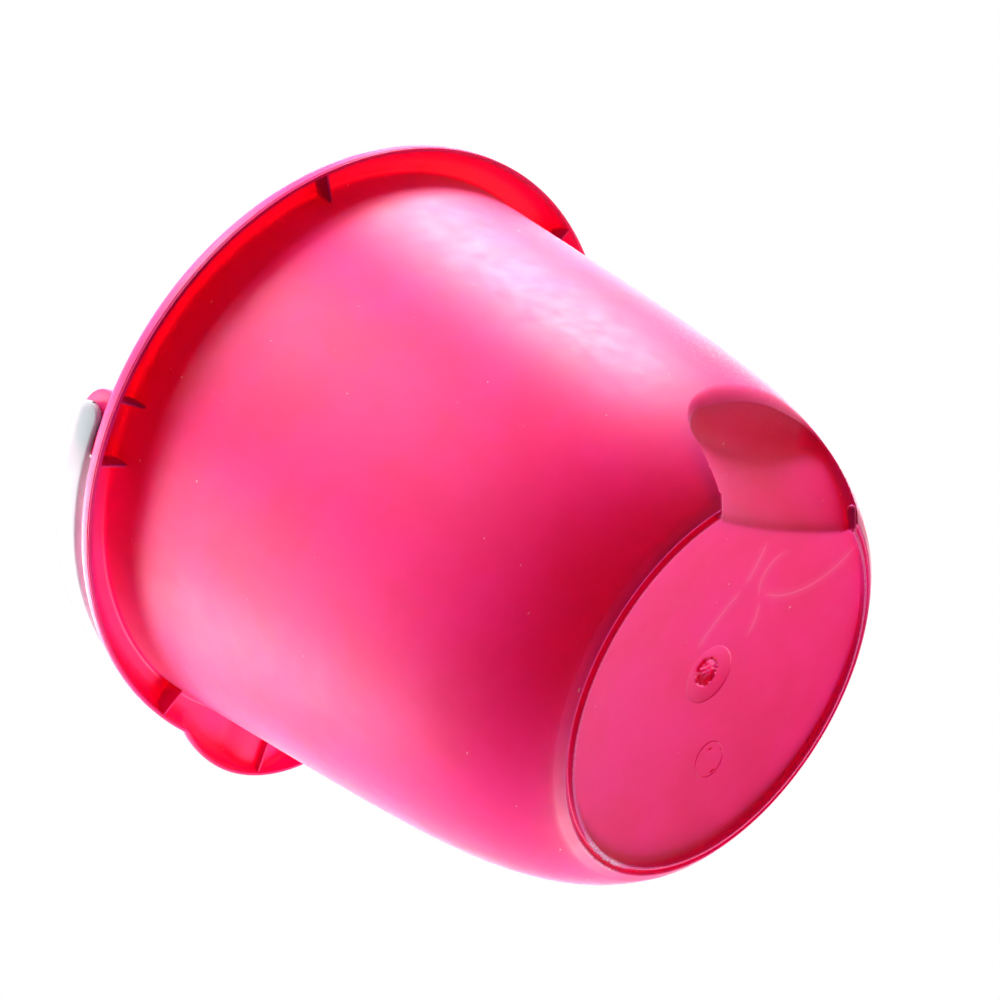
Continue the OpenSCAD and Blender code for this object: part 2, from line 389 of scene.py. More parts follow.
def scoop_column(u, skin, corner_x, edge_z, foot_z, top_angle):
    """The path up one column through the scoop: chord, back, tunnel, opening and wall."""
    chord_x = corner_x * (1 - 2 * u)
    chord_z = float(dome_z(math.hypot(chord_x, SCOOP_BACK + 4))) + skin
    chord_z = max(chord_z, edge_z)
    chord = np.array([chord_x, scoop_back_y(chord_x, chord_z, skin), chord_z])
    open_x, open_z = (float(v) for v in arch(np.float64(u), skin, foot_z))
    back_x, back_z = open_x * SCOOP_DRAFT, foot_z + (open_z - foot_z) * SCOOP_DRAFT
    back = np.array([back_x, scoop_back_y(back_x, back_z, skin), back_z])
    angle = math.acos(open_x / (float(wall_r(open_z)) - skin))
    opening = wall_point(angle, open_z, skin)

    def on_back(t):
        x, z = chord_x + (back_x - chord_x) * t, chord_z + (back_z - chord_z) * t
        return np.stack([x, scoop_back_y(x, z, skin), z], -1)

    def on_wall(t):
        return wall_point(angle + (top_angle - angle) * t, open_z + (PATCH_TOP - open_z) * t, skin)

    back_len = np.linalg.norm(back - chord)
    depth = np.linalg.norm(opening - back)
    wall_len = np.linalg.norm(on_wall(1.0) - opening)
    foot_fade = float(smooth_step(0, 0.12, min(u, 1 - u)))
    chord_cut = min(2.4 + skin / 2, 0.4 * back_len)
    inner_cut = min(4.5, 0.45 * back_len, 0.55 * depth)
    over_top = float(smooth_step(SCOOP_H - 1.3 * SCOOP_CORNER, SCOOP_H - 0.2 * SCOOP_CORNER, open_z))
    outer_cut = min(SIDE_ROUND + (ARCH_ROUND - SIDE_ROUND) * over_top, 0.4 * depth)
    inward = chord * (1, 1, 0) / np.hypot(*chord[:2])
    panel = chord - inward * min(chord_cut, 1.2)
    panel[2] = dome_z(math.hypot(panel[0], panel[1])) + skin if foot_fade else edge_z
    lift = min(outer_cut * foot_fade / wall_len, 0.6)
    back_start, back_end = chord_cut / back_len, 1 - inner_cut / back_len
    tunnel = back + (opening - back) * inner_cut / depth
    mouth = opening + (back - opening) * outer_cut * (1 - 0.6 * over_top) / depth
    brow = opening + (on_wall(lift) - opening) * 0.45 * over_top  # leaves a crisp edge under the arch
    rows = [panel[None]]
    rows.append(bezier_corner(panel, chord, on_back(back_start), FILLET_ROWS))
    rows.append(on_back(np.linspace(back_start, back_end, BACK_ROWS + 1)[1:]))
    rows.append(bezier_corner(rows[-1][-1], back, tunnel, FILLET_ROWS))
    rows.append(tunnel + (mouth - tunnel) * np.linspace(0, 1, TUNNEL_ROWS + 1)[1:, None])
    rows.append(bezier_corner(mouth, brow, on_wall(lift), FILLET_ROWS))
    up = lift + (1 - lift) * np.linspace(0, 1, LOW_WALL_ROWS + 1)[1:] ** LOW_WALL_GROWTH
    rows.append(on_wall(up))
    return np.concatenate(rows)


def round_angles(first):
    """Angles of the columns outside the scoop, from its -X side round to its +X side.
    They crowd together at both ends of the spout."""
    t = np.linspace(0, 1, 4001)
    total = math.pi + 2 * first
    angle = math.pi - first + total * t
    corner = math.radians(21.0)
    density = 1.0
    for side in (-1, 1):
        density = density + 4 * np.exp(-(((angle - 1.5 * math.pi - side * corner) / 0.02) ** 2))
    at = np.concatenate([[0], np.cumsum((density[1:] + density[:-1]) / 2)])
    return np.interp(np.linspace(0, at[-1], ROUND_COLS + 1), at, angle)


def lower_rows(skin):
    """Rows of the panel, the foot and the lower wall, for every column, with the scoop let in.
    The first SCOOP_COLS + 1 columns cross the scoop and the rest go round the bucket."""
    (edge_r, edge_z), foot = foot_profile(skin)
    foot_z = float(foot[-1][1])
    corner_x = panel_corner(edge_r, edge_z, skin)
    side_x = SCOOP_HALF + skin
    top_angle = math.acos(PATCH_HALF / (float(wall_r(PATCH_TOP)) - skin))
    u = np.linspace(0, 1, SCOOP_COLS + 1)
    fans = top_angle + (math.pi - 2 * top_angle) * u
    across = np.stack(
        [scoop_column(float(a), skin, corner_x, edge_z, foot_z, float(b)) for a, b in zip(u, fans)], 1
    )
    up = np.linspace(0, 1, LOW_WALL_ROWS + 1)[1:] ** LOW_WALL_GROWTH
    wall_z = foot_z + (PATCH_TOP - foot_z) * up
    profile = np.concatenate([foot, np.stack([wall_r(wall_z) - skin, wall_z], 1)])
    first_foot = np.arccos(np.interp(foot[:, 0], (edge_r, edge_r + 2), (corner_x, side_x)) / foot[:, 0])
    foot_angle = math.acos(side_x / (float(wall_r(foot_z)) - skin))
    first = np.concatenate([first_foot, foot_angle + (top_angle - foot_angle) * up])
    spread = round_angles(top_angle)
    share = (spread - spread[0]) / (spread[-1] - spread[0])
    around = []
    for (r, z), a in zip(profile, first):
        angle = math.pi - a + (math.pi + 2 * a) * share
        around.append(np.stack([r * np.cos(angle), r * np.sin(angle), np.full_like(angle, z)], -1))
    return np.concatenate([across, np.array(around)], 1), fans, spread


def gate_height(rho, angle):
    """Shallow dish round the gate, and the torn crater that the sprue leaves in it."""
    dish = GATE_DEPTH * (1 - np.minimum(rho / GATE_R, 1) ** 2)
    dish = dish + GATE_STEP * (1 - smooth_step(GATE_R - 0.1, GATE_R + 0.1, rho))
    x, y = rho * np.cos(angle) - CRATER_AT[0], rho * np.sin(angle) - CRATER_AT[1]
    from_crater, turn = np.hypot(x, y), np.arctan2(y, x)
    torn = 1 + 0.3 * np.sin(3 * turn + 0.6) + 0.25 * np.sin(7 * turn + 2) + 0.2 * np.sin(17 * turn)
    ridge_r = CRATER_R + 0.2 * np.sin(2 * turn + 0.5) + 0.12 * np.sin(9 * turn)
    ridge = CRATER_RIDGE * torn * np.exp(-(((from_crater - ridge_r) / 0.42) ** 2))
    floor_of_crater = CRATER_FLOOR * (1 - smooth_step(ridge_r - 1.2, ridge_r - 0.3, from_crater))
    pit = PIT_DEPTH * np.exp(-(((x - PIT_AT[0]) / 1.25) ** 2) - ((y - PIT_AT[1]) / 2.2) ** 2)
    crumbs = CRUMBS * np.sin(2.9 * x + 1.3 * y) * np.sin(2.3 * y - 1.1 * x + 1)
    crumbs = crumbs * np.exp(-((from_crater / 3.4) ** 4))
    return dish + floor_of_crater + pit * (from_crater < ridge_r + 0.6) + crumbs - ridge


def panel_rows(edge, skin):
    """Rows from the centre of the panel out to its edge, as heights on the dome."""
    angle = np.arctan2(edge[:, 1], edge[:, 0])
    edge_r = np.hypot(edge[:, 0], edge[:, 1])
    gate_rows, panel_count = (6, 16) if skin else (GATE_ROWS, PANEL_ROWS)
    radii = list(np.linspace(0.15, GATE_R - 0.25, gate_rows))
    radii += [GATE_R - 0.1, GATE_R, GATE_R + 0.1, GATE_R + 0.4, 10.2, PANEL_CORE_R]
    shares = [(rho, 0.0) for rho in radii]
    shares += [(PANEL_CORE_R, t) for t in np.linspace(0, 1, panel_count)[1:-1]]
    made = []
    for start, t in shares:
        rho = start + (edge_r - PANEL_CORE_R) * t
        z = dome_z(rho) + skin
        z = z + (GATE_BOSS * np.exp(-((rho / GATE_BOSS_R) ** 2)) if skin else gate_height(rho, angle))
        z = z + smooth_step(0.85, 1.0, np.float64(t)) * (edge[:, 2] - dome_z(edge_r) - skin)
        made.append(np.stack([rho * np.cos(angle), rho * np.sin(angle), z], -1))
    return made


def outline(inset, angle):
    """Distance from the axis to the rim's outline moved in by inset, with the spout's arc let in."""
    phi = angle + math.pi / 2
    phi = np.arctan2(np.sin(phi), np.cos(phi))
    across = SPOUT_D * np.sin(phi)
    r = SPOUT_R - inset
    inside = (np.abs(across) < r) & (np.abs(phi) < 1)
    spout = np.where(inside, SPOUT_D * np.cos(phi) + np.sqrt(np.maximum(r * r - across**2, 0)), 0)
    return -smooth_min(np.full_like(angle, inset - RIM_R), -spout, SPOUT_BLEND)


def trough_z(x, y):
    """Height of the pouring trough's floor, which is over the rim everywhere but at the spout."""
    away = np.clip((y + TROUGH_START) / 4, 0, 1) * TROUGH_CLEAR
    bow = np.sqrt(np.maximum(TROUGH_R**2 - x * x, 0))
    return RIM_TOP + TROUGH_R - TROUGH_DEPTH - bow + away


def quarter_turn(rows):
    return np.linspace(0, math.pi / 2, rows + 1)[1:]


def rim_row(angle, rho, z, cap=0.0):
    """A row at distance rho and height z, kept cap under the trough's floor."""
    rho = np.broadcast_to(rho, angle.shape)
    x, y = rho * np.cos(angle), rho * np.sin(angle)
    return np.stack([x, y, smooth_min(z + 0 * x, trough_z(x, y) - cap, TROUGH_BLEND)], -1)


def under_rim_rows(angle):
    """Rows up the outer wall and out under the rim's top."""
    rows = []
    for z in np.linspace(PATCH_TOP, RIM_UNDER - 6, 31)[1:]:
        rows.append(rim_row(angle, wall_r(z), z, RIM_T + 1.2))
    for z in (RIM_UNDER - 4, RIM_UNDER - 2.4, RIM_UNDER - RIM_FILLET):
        rows.append(rim_row(angle, wall_r(z), z, RIM_T + RIM_FILLET))
    start = wall_r(RIM_UNDER)
    for t in quarter_turn(5):
        lift = RIM_FILLET * (1 - math.sin(t))
        rho = start + RIM_FILLET * (1 - math.cos(t))
        rows.append(rim_row(angle, rho, RIM_UNDER - lift, RIM_T + lift))
    end = outline(RIM_ROUND, angle)
    for t in np.linspace(0, 1, 9)[1:]:
        rho = start + RIM_FILLET + (end - start - RIM_FILLET) * t
        rows.append(rim_row(angle, rho, RIM_UNDER, RIM_T))
    return rows


def skirt_rows(angle):
    """Rows down the skirt's inner face, round its lip, and up its outer face to the rim's top."""
    rows = []
    inner_round = RIM_ROUND - RIM_T
    corner_z = RIM_TOP - RIM_ROUND
    for t in quarter_turn(8):
        rho = outline(RIM_ROUND - inner_round * math.sin(t), angle)
        rows.append(rim_row(angle, rho, corner_z + inner_round * math.cos(t), RIM_T))
    for z in (LIP_Z + 1.4, LIP_Z + 1.0, LIP_Z + LIP_EDGE):
        rows.append(rim_row(angle, outline(RIM_T, angle), z, RIM_T))
    for t in quarter_turn(4):
        rho = outline(RIM_T - LIP_EDGE * (1 - math.cos(t)), angle)
        rows.append(rim_row(angle, rho, LIP_Z + LIP_EDGE * (1 - math.sin(t))))
    for t in np.linspace(0, math.pi / 2, 5):
        rho = outline(LIP_EDGE * (1 - math.sin(t)), angle)
        rows.append(rim_row(angle, rho, LIP_Z + LIP_EDGE * (1 - math.cos(t))))
    for inset, up in SKIRT_GROOVE:
        rows.append(rim_row(angle, outline(inset, angle), LIP_Z + up))
    for t in quarter_turn(16):
        rho = outline(RIM_ROUND * (1 - math.cos(t)), angle)
        rows.append(rim_row(angle, rho, corner_z + RIM_ROUND * math.sin(t)))
    return rows


def inner_rows(angle):
    """Rows in over the rim's top, round the mouth's edge and down the inner wall."""
    rows = []
    mouth = wall_r(RIM_TOP) - WALL_T
    start = outline(RIM_ROUND, angle)
    for t in np.linspace(0, 1, 8)[1:]:
        rows.append(rim_row(angle, start + (mouth + MOUTH_ROUND - start) * t, RIM_TOP))
    for t in quarter_turn(6):
        drop = MOUTH_ROUND * (1 - math.cos(t))
        rows.append(rim_row(angle, mouth + MOUTH_ROUND * (1 - math.sin(t)), RIM_TOP - drop, drop))
    for z in (RIM_TOP - 2.2, RIM_TOP - 3.6, RIM_TOP - 5):
        rows.append(rim_row(angle, wall_r(z) - WALL_T, z, RIM_TOP - z))
    for z in np.linspace(RIM_TOP - 7, PATCH_TOP, 31)[:-1]:
        rows.append(rim_row(angle, wall_r(z) - WALL_T, z, 5.0))
    return rows


def bucket_skin():
    """The moulding as one closed skin, but for the small features that build() unites with it."""
    outside, fans, spread = lower_rows(0.0)
    inside, _, _ = lower_rows(WALL_T)
    rows = panel_rows(outside[0], 0.0)
    rows += list(outside)
    angle = np.concatenate([fans, spread])
    rows += under_rim_rows(angle) + skirt_rows(angle) + inner_rows(angle)
    rows += list(inside[::-1])
    rows += panel_rows(inside[0], WALL_T)[::-1]
    rows = np.array(rows)
    count = rows.shape[1]
    index = np.arange(rows.size // 3).reshape(-1, count)
    points = list(rows.reshape(-1, 3))
    faces = closed_faces(index.tolist())
    for row, height, flip in ((0, gate_height(0.0, 0.0), True), (-1, WALL_T + GATE_BOSS, False)):
        centre = len(points)
        points.append((0, 0, PANEL_CROWN + float(height)))
        ring = index[row]
        for j in range(count):
            pair = (ring[j], ring[(j + 1) % count])
            faces.append((pair[1], pair[0], centre) if flip else (pair[0], pair[1], centre))
    return new_mesh("bucket_moulding", points, faces, weld=0.004)


# ---------------------------------------------------------------- features that are united with the skin
def gusset(angle):
    """A thin plate between the wall and the skirt, a little thinner at its free edge."""
    direction = np.array([math.cos(angle), math.sin(angle), 0])
    sideways = np.array([-direction[1], direction[0], 0])
    edge = float(outline(0.0, np.array([angle]))[0])
    far = edge - RIM_T / 2
    inner = float(wall_r(RIM_UNDER)) - 0.8
    low = LIP_Z + 0.45
    mid_round = RIM_ROUND - RIM_T / 2
    rings = []
    for rho in np.linspace(inner, far, 17):
        past = max(rho - edge + RIM_ROUND, 0)  # how far this station is into the rim's rounded corner
        high = RIM_TOP - RIM_ROUND + math.sqrt(max(mid_round**2 - past**2, 0))
        cover = float(trough_z(direction[0] * rho, direction[1] * rho)) - RIM_T / 2
        high = max(min(high, cover), low + 1.5)
        section = [(0.62, high), (0.5, low + 0.35), (0.36, low + 0.08), (0.14, low)]  # half widths, heights
        section += [(-w, z) for w, z in section[::-1]]
        rings.append([direction * rho + sideways * w + np.array([0, 0, z]) for w, z in section])
    return loft("gusset", rings)


def ear(side):
    """An upright lug with a round top, softened edges and the hole for the bail's stud."""
    count = 96
    angle = np.linspace(0, 2 * math.pi, count, endpoint=False)
    c, s = np.cos(angle), np.sin(angle)
    centre_z = LIP_Z + EAR_UP
    y, z = EAR_R * c, centre_z + EAR_R * s
    y = np.where(z < centre_z, np.sign(c) * EAR_R * np.minimum(1, np.abs(c) * 6), y)
    outer = np.stack([y, np.maximum(z, LIP_Z + EAR_FOOT)], 1)
    middle = np.array([0, PIVOT_Z])
    hole = middle + np.stack([c, s], 1) * (STUD_R + STUD_GAP)
    countersink = middle + (hole - middle) * 1.1
    toward = (outer - middle) / np.linalg.norm(outer - middle, axis=1)[:, None]
    edge = []
    for t in np.linspace(0, math.pi / 2, 5):
        edge.append((EAR_EDGE * (1 - math.cos(t)), outer - toward * EAR_EDGE * (1 - math.sin(t))))
    face = edge[0][1]
    inner_x, outer_x = EAR_OUT - EAR_T, EAR_OUT
    loops = [(inner_x + depth, loop) for depth, loop in edge]
    loops += [(outer_x - depth, loop) for depth, loop in edge[::-1]]
    loops += [(outer_x, face + (hole - face) * t) for t in (0.25, 0.5, 0.75)]
    loops += [(outer_x, countersink), (outer_x - 0.25, hole), (inner_x + 0.25, hole), (inner_x, countersink)]
    loops += [(inner_x, face + (hole - face) * t) for t in (0.75, 0.5, 0.25)]
    points = []
    for x, loop in loops:
        points += [(side * x, y, z) for y, z in loop]
    index = np.arange(len(points)).reshape(len(loops), count).tolist()
    return new_mesh("ear", points, closed_faces(index + [index[0]]))


def capsule(name, start, end, r, sides=20, rings=8):
    """A round-ended rod."""
    start, end = np.array(start, float), np.array(end, float)
    axis = (end - start) / np.linalg.norm(end - start)
    u = np.cross(axis, (1, 0, 0))
    u /= np.linalg.norm(u)
    v = np.cross(axis, u)
    angle = np.linspace(0, 2 * math.pi, sides, endpoint=False)
    circle = np.cos(angle)[:, None] * u + np.sin(angle)[:, None] * v
    made = []
    for t in np.linspace(-math.pi / 2, 0, rings + 1)[1:]:
        made.append(start + axis * r * math.sin(t) + circle * r * math.cos(t))
    for t in np.linspace(0, math.pi / 2, rings + 1)[:-1]:
        made.append(end + axis * r * math.sin(t) + circle * r * math.cos(t))
    return loft(name, made)


def bead(side):
    """The end of the foot ring, which turns up into the scoop's edge."""
    x = SCOOP_HALF - 0.7
    y = math.sqrt((FOOT_R - 0.4) ** 2 - x * x) + 0.6
    z = BEAD_R + 0.05
    rise, run = BEAD_LEN * math.cos(BEAD_LEAN), BEAD_LEN * math.sin(BEAD_LEAN)
    return capsule("bead", (side * x, y, z), (side * x, y + run, z + rise), BEAD_R)


def flash():
    """A thin ragged sliver left along the outer edge of the foot ring."""
    rings = []
    for t in np.linspace(0, 1, 90):
        angle = math.radians(FLASH_FROM + FLASH_TURN * t)
        across = np.array([math.cos(angle), math.sin(angle)])
        ragged = 0.6 + 0.25 * math.sin(31 * t) + 0.2 * math.sin(83 * t + 1) + 0.15 * math.sin(171 * t)
        width = 0.12 + 0.5 * max(ragged, 0.05) * math.sin(math.pi * (0.04 + 0.92 * t)) ** 0.5
        section = ((-0.25, 0.06), (width, 0.1), (width, 0.3), (-0.25, 0.62))
        rings.append([(*(across * (FOOT_R + out)), z) for out, z in section])
    return loft("flash", rings)


def stamp_arc(r, first, last, half_width, height):
    """Rings of a raised line on the panel, along an arc round the date stamp's centre.
    Its ends are pointed unless it goes all the way round."""
    count = max(int(abs(last - first) * r / 0.35), 12)
    rings = []
    for t in np.linspace(0, 1, count + 1):
        angle = math.radians(first + (last - first) * t)
        across = np.array([math.cos(angle), math.sin(angle)])
        grow = 1.0 if last - first == 360 else math.sin(math.pi * (0.06 + 0.88 * t))
        ring = []
        for w, h in ((-1, -0.3), (-0.6, 0.7), (0, 1), (0.6, 0.7), (1, -0.3), (0, -1.2)):
            x, y = np.array(STAMP_AT) + across * (r + w * half_width * grow)
            ring.append((x, y, float(dome_z(math.hypot(x, y))) - h * height * grow))
        rings.append(ring)
    return rings


def stamp():
    """The empty ring of a date stamp, with its three index marks."""
    ring = np.array(stamp_arc(STAMP_R, 0, 360, STAMP_LINE, STAMP_LINE)[:-1])
    index = np.arange(ring.size // 3).reshape(ring.shape[:2]).tolist()
    made = [new_mesh("stamp_ring", ring.reshape(-1, 3), closed_faces(index + [index[0]]))]
    for r, first, last in STAMP_MARKS:
        made.append(loft("stamp_mark", stamp_arc(r, first, last, STAMP_MARK, STAMP_MARK)))
    return made


# ---------------------------------------------------------------- the bail
def to_bail(points):
    """From the bail's own frame, with its hinge on the X axis, to the bucket's frame at rest."""
    p = np.asarray(points, float)
    x, y, z = p[..., 0], p[..., 1], p[..., 2]
    c, s = math.cos(-BAIL_TILT), math.sin(-BAIL_TILT)
    return np.stack([x, y * c - z * s, PIVOT_Z + y * s + z * c], -1)


def bail_section(depth, half):
    """Rounded channel section as (inset, height): a plate outside, and two flanges that point inwards."""
    lip = half - FLANGE_T
    path = [(0, 0), (0, half), (depth, half), (depth, lip), (BAIL_PLATE, lip), (BAIL_PLATE, -lip)]
    path += [(depth, -lip), (depth, -half), (0, -half), (0, 0)]
    scale = min(1.0, half / (BAIL_W / 2))
    radii = [r * scale for r in (0.7, 0.4, 0.4, 0.5, 0.5, 0.4, 0.4, 0.7)]
    return rounded(path, radii, 4)[:-1]


def bail_strap():
    """One sweep from pad to pad. Its width follows the pads' round ends, and its flanges start past them."""
    pad_r = BAIL_W / 2
    start = math.asin((pad_r - BAIL_BACK) / BAIL_R)  # the tip of the +X pad, seen from the arc's centre
    half_length = BAIL_R * (math.pi / 2 + start)
    flange = pad_r + FLANGE_START
    stops = list(pad_r * (1 - np.cos(np.linspace(0.12, math.pi / 2, 16))))
    stops += list(np.linspace(pad_r + 1, flange - 0.6, 8))
    stops += list(flange + np.linspace(-0.35, 0.35, 8))
    stops += list(np.linspace(flange + 1.2, half_length, 64))
    rings = []
    for s in stops + [2 * half_length - s for s in stops[-2::-1]]:
        end = min(s, 2 * half_length - s)
        half = math.sqrt(pad_r**2 - max(pad_r - end, 0) ** 2)
        grown = float(smooth_step(-0.3, 0.3, end - flange))
        ring = bail_section(BAIL_PLATE + 0.01 + (BAIL_DEPTH - BAIL_PLATE) * grown, half)
        phi = start - s / BAIL_R
        rho = BAIL_R - ring[:, 0]
        rings.append(np.stack([rho * math.cos(phi), BAIL_BACK + rho * math.sin(phi), ring[:, 1]], -1))
    return loft("bail_moulding", to_bail(rings))


def bail_stud(side):
    """Boss, stud and snap-in head, turned about the hinge axis."""
    boss_x = EAR_OUT + BOSS_GAP
    head_x = EAR_OUT - EAR_T - BOSS_GAP
    tip_x = head_x - 1.4
    profile = [(BAIL_R - 1.0, BOSS_R), (boss_x + 0.35, BOSS_R), (boss_x, BOSS_R - 0.35)]
    profile += [(boss_x, STUD_R), (head_x, STUD_R), (head_x, STUD_R + 0.6)]
    profile += [(head_x - 0.4, STUD_R + 0.6), (tip_x, STUD_R - 0.3), (tip_x, STUD_R - 1.0)]
    angle = np.linspace(0, 2 * math.pi, 64, endpoint=False)
    rings = []
    for x, r in profile:
        rings.append(np.stack([np.full_like(angle, side * x), r * np.cos(angle), r * np.sin(angle)], -1))
    return loft("stud", to_bail(rings))


# ---------------------------------------------------------------- materials
DEEP_PINK = (0.84, 0.002, 0.20)
PINK = (0.90, 0.005, 0.27)
PALE_PINK = (0.95, 0.16, 0.42)
WHITENING_AND_HIGHLIGHT = (0.95, 0.62, 0.75)
FLASH_AT = (24.6, -50.5, 0.3)  # on the foot ring, where flash was torn off
HIGHLIGHT_PATCH_AT = (-12, 76, 48)  # a painted highlight: pale blotches on the wall above the scoop
# Each line on the base is an arc from its first point to its last through the middle one. It is drawn
# once for each pair of half width and weight.
FLOW_LINES = (
    ((-36, 43), (-21, 26), (-8, 25)),
    ((-10, 39), (-4.7, 30), (-8, 23)),
    ((-8, 23), (-10, 17), (-9.6, 11)),
    ((1.4, 41), (0.6, 33), (1.4, 26)),
    ((1.4, 26), (6, 17), (10, 7)),
)
FLOW_STROKES = ((0.5, 0.5), (2.8, 0.3))
FLOW_END = 3  # length over which a line fades at its ends
FLOW_STRENGTH = 0.8
BAIL_SHADES = ((0.37, 0.41, 0.44), (0.41, 0.45, 0.48))
FLOOR_SHADES = ((0.86, 0.86, 0.86), (0.9, 0.9, 0.9))

# Noises, as features per metre, detail and roughness
BUCKET_CLOUD = (45, 3, 0.5)
BUCKET_GRIT = (900, 4, 0.7)
BUCKET_SPECKS = (520, 1, 0.3)
BUCKET_PATCHES = (160, 5, 0.6)
BUCKET_WAVE = (60, 2, 0.5)
BUCKET_GRAIN = (2600, 3, 0.6)
BAIL_CLOUD = (60, 3, 0.5)
BAIL_PATCHES = (220, 5, 0.6)
BAIL_WAVE = (90, 2, 0.5)
BAIL_GRAIN = (3000, 3, 0.6)
FLOOR_CLOUD = (3, 2, 0.5)

# Values that are the same all over a material
BUCKET_SHADER = {
    "Specular IOR Level": 0.36,
    "Subsurface Weight": 0.6,
    "Subsurface Radius": (1.0, 0.04, 0.10),
    "Subsurface Scale": 0.005,
    "Sheen Weight": 0.3,
    "Sheen Roughness": 0.3,
}
BAIL_SHADER = {
    "Specular IOR Level": 0.3,
    "Subsurface Weight": 0.9,
    "Subsurface Radius": (1.0, 0.8, 0.8),
    "Subsurface Scale": 0.009,
}


def new_material(name, constants):
    """A material whose shader has the constant values that are given by socket name."""
    material = bpy.data.materials.new(name)
    material.use_nodes = True
    tree = material.node_tree
    shader = tree.nodes["Principled BSDF"]
    for socket, value in constants.items():
        shader.inputs[socket].default_value = value
    return material, tree, shader


def noise(tree, scale, detail, roughness):
    """A noise texture in the record's frame, with its scale in features per metre."""
    coords = tree.nodes.new("ShaderNodeTexCoord")
    node = tree.nodes.new("ShaderNodeTexNoise")
    node.inputs["Scale"].default_value = scale
    node.inputs["Detail"].default_value = detail
    node.inputs["Roughness"].default_value = roughness
    tree.links.new(coords.outputs["Object"], node.inputs["Vector"])
    return node.outputs["Fac"]


def map_range(tree, value, low, high, to_low, to_high):
    node = tree.nodes.new("ShaderNodeMapRange")
    tree.links.new(value, node.inputs["Value"])
    for name, number in (("From Min", low), ("From Max", high), ("To Min", to_low), ("To Max", to_high)):
        node.inputs[name].default_value = number
    return node.outputs["Result"]


def mix_colour(tree, factor, a, b):
    node = tree.nodes.new("ShaderNodeMix")
    node.data_type = "RGBA"
    tree.links.new(factor, node.inputs["Factor"])
    for socket, value in (("A", a), ("B", b)):
        if isinstance(value, tuple):
            node.inputs[socket].default_value = (*value, 1)
        else:
            tree.links.new(value, node.inputs[socket])
    return node.outputs["Result"]


def bump(tree, height, strength, distance, normal=None):
    node = tree.nodes.new("ShaderNodeBump")
    node.inputs["Strength"].default_value = strength
    node.inputs["Distance"].default_value = distance
    tree.links.new(height, node.inputs["Height"])
    if normal is not None:
        tree.links.new(normal, node.inputs["Normal"])
    return node.outputs["Normal"]


def math_node(tree, operation, *values):
    node = tree.nodes.new("ShaderNodeMath")
    node.operation = operation
    for socket, value in zip(node.inputs, values):
        if isinstance(value, (int, float)):
            socket.default_value = value
        else:
            tree.links.new(value, socket)
    return node.outputs["Value"]


def vector_node(tree, operation, a, b):
    """A vector operation on the socket a and the constant b."""
    node = tree.nodes.new("ShaderNodeVectorMath")
    node.operation = operation
    tree.links.new(a, node.inputs[0])
    node.inputs[1].default_value = b
    return node.outputs["Value" if operation in ("DISTANCE", "DOT_PRODUCT") else "Vector"]


def near(tree, position, centre, full, gone):
    """1 within the distance full of a point, fading to 0 at the distance gone. All in millimetres."""
    distance = vector_node(tree, "DISTANCE", position, in_metres(centre))
    return map_range(tree, distance, full * MM, gone * MM, 1, 0)


def circle_through(a, b, c):
    """Centre and radius of the circle through three points of the plane."""
    rows = np.array([np.subtract(b, a), np.subtract(c, a)], float)
    half = [(np.dot(q, q) - np.dot(a, a)) / 2 for q in (b, c)]
    centre = np.linalg.solve(rows, half)
    return centre, float(np.linalg.norm(centre - a))


def arc_line(tree, plan, a, b, c, half_width):
    """Mask of a soft line along the arc from a to c through b, which is less than a half turn."""
    centre, radius = circle_through(a, b, c)
    distance = vector_node(tree, "DISTANCE", plan, in_metres((*centre, 0)))
    off = math_node(tree, "SUBTRACT", distance, radius * MM)
    line = map_range(tree, math_node(tree, "ABSOLUTE", off), 0, half_width * MM, 1, 0)
    middle, reach = np.add(a, c) / 2, math.dist(a, c) / 2
    ends = near(tree, plan, (*middle, 0), reach - FLOW_END, reach)
    return math_node(tree, "MULTIPLY", line, ends)


def flow_lines(tree, position, height):
    """Mask of the marks that the plastic's flow leaves on the base, between the gate and the scoop."""
    plan = vector_node(tree, "MULTIPLY", position, (1, 1, 0))
    total = 0.0
    for a, b, c in FLOW_LINES:
        for half_width, weight in FLOW_STROKES:
            line = arc_line(tree, plan, a, b, c, half_width)
            total = math_node(tree, "MULTIPLY_ADD", line, weight, total)
    on_base = map_range(tree, height, 9 * MM, 11 * MM, 1, 0)
    return math_node(tree, "MULTIPLY", total, on_base)


def scuffs_and_highlights(tree, colour, position, height, grit, land):
    """The colour with pale marks: the foot ring's land, partly wear and partly a painted highlight, its torn
    flash, a painted highlight on the wall above the scoop and a few specks.
    """
    # The foot ring's land whitened: partly wear, partly a painted highlight along the ring's edge.
    colour = mix_colour(tree, map_range(tree, land, 0.3, 0.7, 0, 0.8), colour, PALE_PINK)
    torn = near(tree, position, FLASH_AT, 7, 13)
    torn = math_node(tree, "MULTIPLY", torn, map_range(tree, grit, 0.4, 0.6, 0.1, 0.8))
    torn = math_node(tree, "MULTIPLY", torn, map_range(tree, height, 0.4 * MM, 0.8 * MM, 1, 0))
    colour = mix_colour(tree, torn, colour, WHITENING_AND_HIGHLIGHT)
    # Painted highlight: a pale blotchy patch on the wall above the scoop.
    highlight_patch = near(tree, position, HIGHLIGHT_PATCH_AT, 8, 27)
    highlight_patch = math_node(tree, "MULTIPLY", highlight_patch, map_range(tree, grit, 0.5, 0.66, 0, 0.28))
    colour = mix_colour(tree, highlight_patch, colour, WHITENING_AND_HIGHLIGHT)
    specks = map_range(tree, noise(tree, *BUCKET_SPECKS), 0.81, 0.83, 0, 0.4)
    return mix_colour(tree, specks, colour, WHITENING_AND_HIGHLIGHT)


